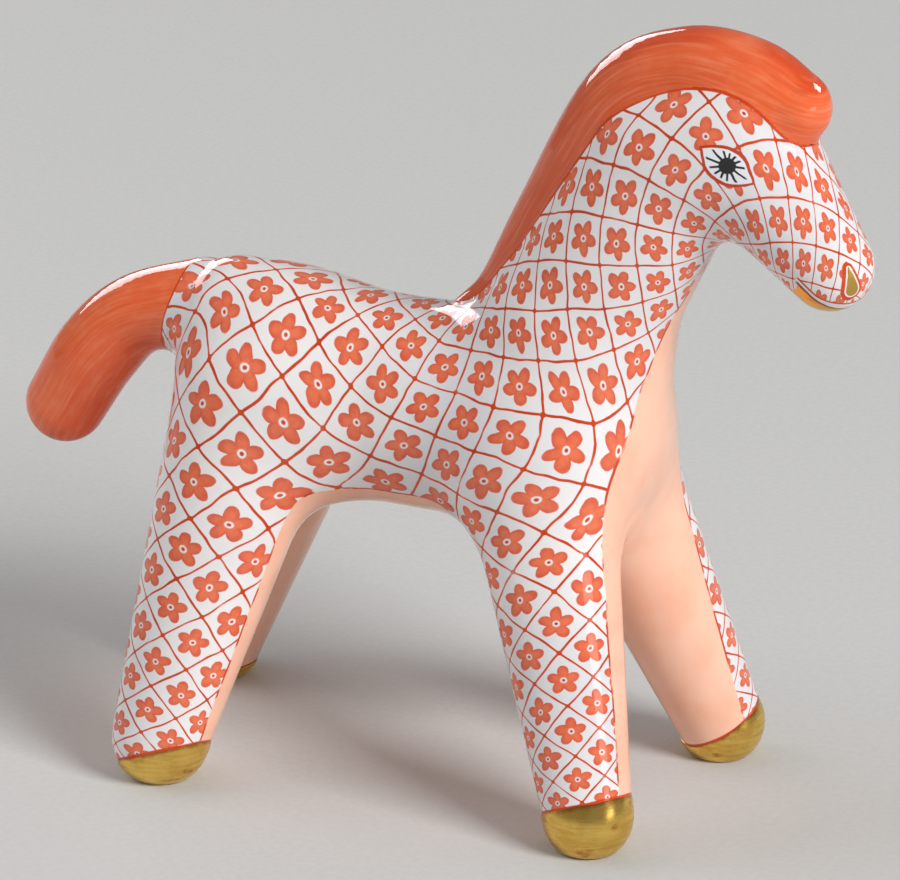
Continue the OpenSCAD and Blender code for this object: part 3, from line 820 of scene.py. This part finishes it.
neck_and_head.data.materials.append(glazed(neck_finish, neck_colour))
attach(neck_and_head, "root")
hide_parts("neck_and_head")

# Legs: four tapered castings on round hooves, luted to the torso's stumps.
# White porcelain with the trellis on the outer side and the peach wash on the inner side.

for leg_name in legs:
    leg_piece = cast(leg_name + "_leg")
    leg_piece.data.materials.append(body_finish)
    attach(leg_piece, "root")
    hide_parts(leg_name + "_leg")

# Mane: a solid roll of porcelain with round ends, hollowed to sit on the back, the crest and the brow.
# Stuck on with slip, the seam smoothed to a small fillet, then brushed with a coral glaze along its length.

coral_glaze = shade(240, 108, 60)
# Thick coral coat, also laid on the rolls' undersides as painted shade
coral_thick_and_shade = shade(212, 68, 26)
coral_thin = shade(242, 140, 100)
# Darker, browner coral laid where the mane starts at the withers, as painted shade
coral_painted_shade = shade(206, 88, 52)
seat_depth = 0.2
root_line_width = 0.3


def roll_piece(name, path, radii, swell, rows, columns, root_gap, seat_way=None, cap_rows=12):
    """Fine closed mesh of a round-ended roll along a curve, flared into the skin and seated in it."""
    last = len(path) - 1
    steps = np.linspace(0, last, rows)
    ahead = curve(path, np.minimum(steps + 0.01, last)) - curve(path, np.maximum(steps - 0.01, 0))
    ahead /= np.linalg.norm(ahead, axis=1)[:, None]
    cap = np.radians(np.linspace(0, 90, cap_rows + 1))[1:-1]
    centres, widths = curve(path, steps), curve(radii, steps)
    first = centres[0] - np.outer(np.cos(cap) * widths[0], ahead[0])
    final = centres[-1] + np.outer(np.cos(cap[::-1]) * widths[-1], ahead[-1])
    centres = np.concatenate([first, centres, final])
    ahead = np.concatenate([np.tile(ahead[0], (len(cap), 1)), ahead, np.tile(ahead[-1], (len(cap), 1))])
    widths = np.concatenate([np.sin(cap) * widths[0], widths, np.sin(cap[::-1]) * widths[-1]])
    turns = np.linspace(0, 2 * math.pi, columns, endpoint=False)
    top = np.stack([-ahead[:, 2], 0 * widths, ahead[:, 0]], 1)
    upward, sideways = np.cos(turns)[None, :, None], np.sin(turns)[None, :, None]
    round_ways = top[:, None] * upward + np.array([0, 1, 0]) * sideways
    rings = centres[:, None] + widths[:, None, None] * round_ways
    past_rim = (1 - math.cos(cap[0])) / math.sin(cap[0])
    ends = np.array([
        centres[0] - ahead[0] * widths[0] * past_rim,
        centres[-1] + ahead[-1] * widths[-1] * past_rim])
    points = np.concatenate([rings.reshape(-1, 3), ends])
    tops = np.concatenate([np.repeat(top, columns, axis=0), top[[0, -1]]])
    lengths = np.concatenate([[0], np.cumsum(np.linalg.norm(np.diff(centres, axis=0), axis=1))])
    run = np.concatenate([np.repeat(lengths, columns), lengths[[0, -1]]])
    fullness = np.concatenate([np.sin(cap), np.ones(rows), np.sin(cap[::-1])])
    turned = np.concatenate([np.outer(np.sign(top[:, 2]) * fullness, np.cos(turns)).ravel(), [0, 0]])

    def flared(places):
        """Distance to the roll, which swells in a soft fillet where it stands on the skin."""
        gap = roll_distance(places, path, radii)
        span = fillet_reach(places, swell)
        overlap = np.clip((span - (clay(places) - gap)) / span, 0, 1)
        return gap - overlap * overlap * span / 4

    points = settle(points, np.zeros(points.shape), flared)
    grade = slope_of(flared, points)
    sunk = glazed_skin(points) < -seat_depth
    ways = tops if seat_way is None else np.tile(seat_way, (len(points), 1))
    points[sunk] += ways[sunk] * reach(points[sunk], ways[sunk], -seat_depth, glazed_skin)[:, None]

    count = len(centres)
    faces = []
    for i in range(count - 1):
        for j in range(columns):
            k = (j + 1) % columns
            faces.append((i * columns + j, (i + 1) * columns + j, (i + 1) * columns + k, i * columns + k))
    start_end, last_end, last_ring = count * columns, count * columns + 1, (count - 1) * columns
    for j in range(columns):
        k = (j + 1) % columns
        faces.append((start_end, j, k))
        faces.append((last_end, last_ring + k, last_ring + j))
    data = bpy.data.meshes.new(name)
    data.from_pydata(((points - figure_middle) * MM).tolist(), [], faces)
    root = root_gap(points)
    marks = {"run": run, "turned": turned, "root": root}
    bare = root < 1
    if bare.any():
        net, wash = np.zeros((2, len(points))), np.zeros(len(points))
        net[:, bare] = net_above(points[bare])
        wash[bare] = wash_depth(points[bare])
        marks.update(net_across=net[0], net_along=net[1], wash=wash, border=root_line_width - root)
    mark_points(data, marks)
    smooth_over(data, grade, [face for face in data.polygons if sunk[list(face.vertices)].all()])
    return set_out(name, data)


def brushed_coral(finish, skin_colour, thick_from, thick_to, thick_least, painted_shade_under, painted_shade_start):
    """Coral glaze in long strokes, thicker on top, with painted shade underneath and where the roll starts.
    """
    run, turned = finish.mark("run"), finish.mark("turned")
    strokes = finish.grain(1.0, detail=5.0, stretch=(run * 0.12, turned * 3.5, run * 0.02))
    mottle = finish.grain(160, detail=3.0)
    hatch = finish.grain(1.0, detail=2.0, stretch=(run * 0.9, turned * 5.0, run * 0.02), shift=4.0)
    colour = finish.lay(coral_glaze, coral_thin, (strokes * 0.6 + hatch * 0.5).fade(0.5, 0.8) * 0.6)
    thick = (turned + (strokes - 0.5) * 1.4).fade(thick_least, 1.0) * run.fade(thick_from, thick_to)
    colour = finish.lay(colour, coral_thick_and_shade, thick * 0.85)
    colour = finish.lay(colour, coral_thick_and_shade, mottle.fade(0.5, 0.8) * 0.3)
    # Painted shade: the underside of the roll is darkened with the thick coral
    colour = finish.lay(colour, coral_thick_and_shade, (turned + (strokes - 0.5)).fade(0.1, -0.75) * painted_shade_under)
    # Painted shade: darker and browner where the roll starts, fading out along its run
    colour = finish.lay(colour, coral_painted_shade, (run + (strokes - 0.5) * 12.0).fade(52.0, 14.0) * painted_shade_start)
    hairs = finish.grain(1.0, detail=3.0, stretch=(run * 0.22, turned * 15.0, run * 0.02), shift=7.0)
    colour = finish.lay(colour, coral_thick_and_shade, hairs.fade(0.5, 0.72) * 0.4)
    colour = finish.lay(colour, coral_thin, hairs.fade(0.5, 0.3) * 0.45)
    root = finish.mark("root") + (mottle - 0.5) * 0.3
    colour = finish.lay(skin_colour, colour, root.fade(-0.03, 0.03))
    return glazed(finish, colour)


def mane_root(points):
    """Height of each point, which is more than nothing everywhere, because the mane is coral all over."""
    return points[:, 2]


mane = roll_piece("mane_roll", mane_path, mane_radii, mane_swell, rows=200, columns=112, root_gap=mane_root)
# The mane: a little painted shade on its underside, and more where it starts at the withers
mane_finish = brushed_coral(
    Finish("brushed_coral_mane"), white_glaze,
    thick_from=18.0, thick_to=32.0, thick_least=0.7, painted_shade_under=0.1, painted_shade_start=0.85)
mane.data.materials.append(mane_finish)
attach(mane, "root")
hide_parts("mane")

# Tail: a solid curved roll that hangs clear of the legs, stuck to the rump with slip.
# The same coral glaze, from a red line at its root, and a broader fillet under it.

tail = roll_piece(
    "tail_roll", tail_path, tail_radii, tail_swell, rows=110, columns=112, root_gap=tail_root,
    seat_way=np.array([-1.0, 0, 0]))
# The tail: painted shade on its underside, none where it starts
tail_finish = brushed_coral(
    *painted_porcelain("brushed_coral_tail"),
    thick_from=2.0, thick_to=12.0, thick_least=0.9, painted_shade_under=0.45, painted_shade_start=0.0)
tail.data.materials.append(tail_finish)
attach(tail, "root")
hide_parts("tail")

# Hoof gilding: burnished gold brushed over the foot of each leg up to a slanting edge, and fired.
# Laid on the glaze, so it is a thin shell on the hoof's own form.

gilding_t = 0.15
gold_leaf = shade(246, 208, 112)
gold_worn = shade(222, 178, 82)
bole_red = shade(168, 84, 40)


def gilding_piece(name, rows=20, columns=96):
    """Thin closed shell over a hoof, from the gold's edge down to the floor."""
    hoof = legs[name][1]
    middle, axis = gold_edge(name)
    turns = np.linspace(0, 2 * math.pi, columns, endpoint=False)
    hand = 0.05 * np.sin(3 * turns + hoof[0]) + 0.04 * np.sin(7 * turns + hoof[1])
    shares = np.sin(np.radians(np.linspace(0, 75, rows)))
    foot = np.array([hoof[0], hoof[1], 0])
    outer_rings, inner_rings = [], []
    for share in shares:
        ring_axis = axis * (1 - share) + np.array([0, 0, 1]) * share
        ring_axis /= np.linalg.norm(ring_axis)
        ring_x = np.array([1, 0, 0]) - ring_axis * ring_axis[0]
        ring_x /= np.linalg.norm(ring_x)
        ring_y = np.cross(ring_axis, ring_x)
        ways = np.outer(np.cos(turns), ring_x) + np.outer(np.sin(turns), ring_y)
        starts = middle * (1 - share) + foot * share + np.outer(hand * (1 - share), axis)
        level = gilding_t * min(1.0, 0.2 + share * 4)
        outer_rings.append(starts + ways * reach(starts, ways, level)[:, None])
        inner_rings.append(starts + ways * reach(starts, ways)[:, None])
    rings = outer_rings + inner_rings[::-1]
    faces = []
    for i in range(len(rings)):
        m = (i + 1) % len(rings)
        for j in range(columns):
            k = (j + 1) % columns
            faces.append((i * columns + j, m * columns + j, m * columns + k, i * columns + k))
    data = bpy.data.meshes.new(name + "_gilding")
    data.from_pydata(((np.concatenate(rings) - figure_middle) * MM).tolist(), [], faces)
    down = np.repeat(np.concatenate([shares, shares[::-1]]), columns)
    mark_points(data, {"down": down})
    data.shade_smooth()
    data.set_sharp_from_angle(angle=math.radians(50))
    return set_out(name + "_gilding", data)


burnished = Finish("burnished_gold")
gold_x, gold_y, gold_z = burnished.places()
brush_marks = burnished.grain(1.0, detail=4.0, stretch=(gold_x * 260.0, gold_y * 260.0, gold_z * 2600.0))
gold_cloud = burnished.grain(420, detail=4.0)
gold_colour = burnished.lay(gold_leaf, gold_worn, (gold_cloud * 0.5 + brush_marks * 0.5).fade(0.38, 0.62))
specks = burnished.grain(520, detail=3.0, shift=8.0).fade(0.56, 0.68) * brush_marks.fade(0.38, 0.58)
edge_wear = (burnished.grain(900, detail=3.0, shift=12.0) - 0.5) * 0.25
thin_edge = (burnished.mark("down") + edge_wear).fade(0.1, 0.0)
gold_colour = burnished.lay(gold_colour, bole_red, specks.work("MAXIMUM", thin_edge) * 0.7)
burnished.shader.inputs["Metallic"].default_value = 1.0
burnished.guide("Roughness", gold_cloud * 0.2 + brush_marks * 0.25 + 0.04)
burnished.relief(brush_marks, 0.012)
gold_finish = show(burnished, gold_colour)
for leg_name in legs:
    gilding = gilding_piece(leg_name)
    gilding.data.materials.append(gold_finish)
    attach(gilding, "root")
    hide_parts(leg_name + "_hoof_gilding")

# Floor, light and camera: a pale paper sheet that the figure stands on, under one soft key lamp.
# A weaker lamp fills the left side, and three white cards mirror in the glaze and the gold.

floor_mesh = bpy.data.meshes.new("floor")
floor_mesh.from_pydata([(-3, -3, 0), (3, -3, 0), (3, 3, 0), (-3, 3, 0)], [], [(0, 1, 2, 3)])
floor = set_out("floor", floor_mesh)
paper = Finish("paper")
paper_white, paper_fibre = shade(211, 214, 215), shade(207, 209, 209)
paper_tone = paper.lay(paper_white, paper_fibre, paper.grain(1500, detail=6.0).fade(0.3, 0.7))
paper.shader.inputs["Roughness"].default_value = 0.8
floor_mesh.materials.append(show(paper, paper_tone))

aim = Vector((1.3, 1.8, 31.28)) * MM


def stand(azimuth, elevation, distance):
    """Place seen from the aim at an azimuth and elevation."""
    round_by, up_by = math.radians(azimuth), math.radians(elevation)
    level = math.cos(up_by)
    return aim + distance * Vector((math.sin(round_by) * level, -math.cos(round_by) * level, math.sin(up_by)))


def lamp(name, azimuth, elevation, distance, wide, high, watts, tint, lights):
    """Flat lamp turned to the figure; it lights the matt share of surfaces or mirrors in their gloss."""
    data = bpy.data.lights.new(name, "AREA")
    data.shape = "RECTANGLE"
    data.size, data.size_y = wide, high
    data.energy = watts
    data.color = tint
    light = set_out(name, data)
    light.location = stand(azimuth, elevation, distance)
    light.rotation_euler = (aim - light.location).to_track_quat("-Z", "Y").to_euler()
    light.visible_diffuse = lights != "gloss"
    light.visible_glossy = lights != "matt"


# Azimuth and elevation in degrees, distance, width and height in metres, power in watts, and tint
lamp("key_lamp", 70, 33, 2.0, 0.76, 0.76, 36.0, (1.0, 0.98, 0.95), lights="matt")
lamp("left_fill", -80, 28, 1.8, 1.6, 1.2, 12.0, (1.0, 0.98, 0.97), lights="matt")
lamp("left_card", -127, 20, 0.9, 0.62, 0.33, 3.4, (1.0, 0.95, 1.0), lights="gloss")
lamp("right_card", 139, 33, 0.9, 0.25, 0.25, 2.9, (1.0, 0.98, 0.95), lights="gloss")
lamp("front_card", 82, 8, 0.9, 0.28, 0.12, 0.3, (1.0, 0.98, 0.95), lights="gloss")

world = bpy.data.worlds.new("studio")
world.use_nodes = True
world.node_tree.nodes["Background"].inputs["Color"].default_value = (0.96, 0.925, 0.89, 1)
world.node_tree.nodes["Background"].inputs["Strength"].default_value = 0.275
bpy.context.scene.world = world
bpy.context.scene.view_settings.view_transform = "Standard"

camera_data = bpy.data.cameras.new("camera")
camera_data.sensor_width = 36
camera_data.lens = 264
camera_data.clip_start, camera_data.clip_end = 0.01, 50
camera = set_out("camera", camera_data)
camera.location = stand(24.69, 20.28, 0.6)
camera.rotation_euler = (aim - camera.location).to_track_quat("-Z", "Y").to_euler()
bpy.context.scene.camera = camera
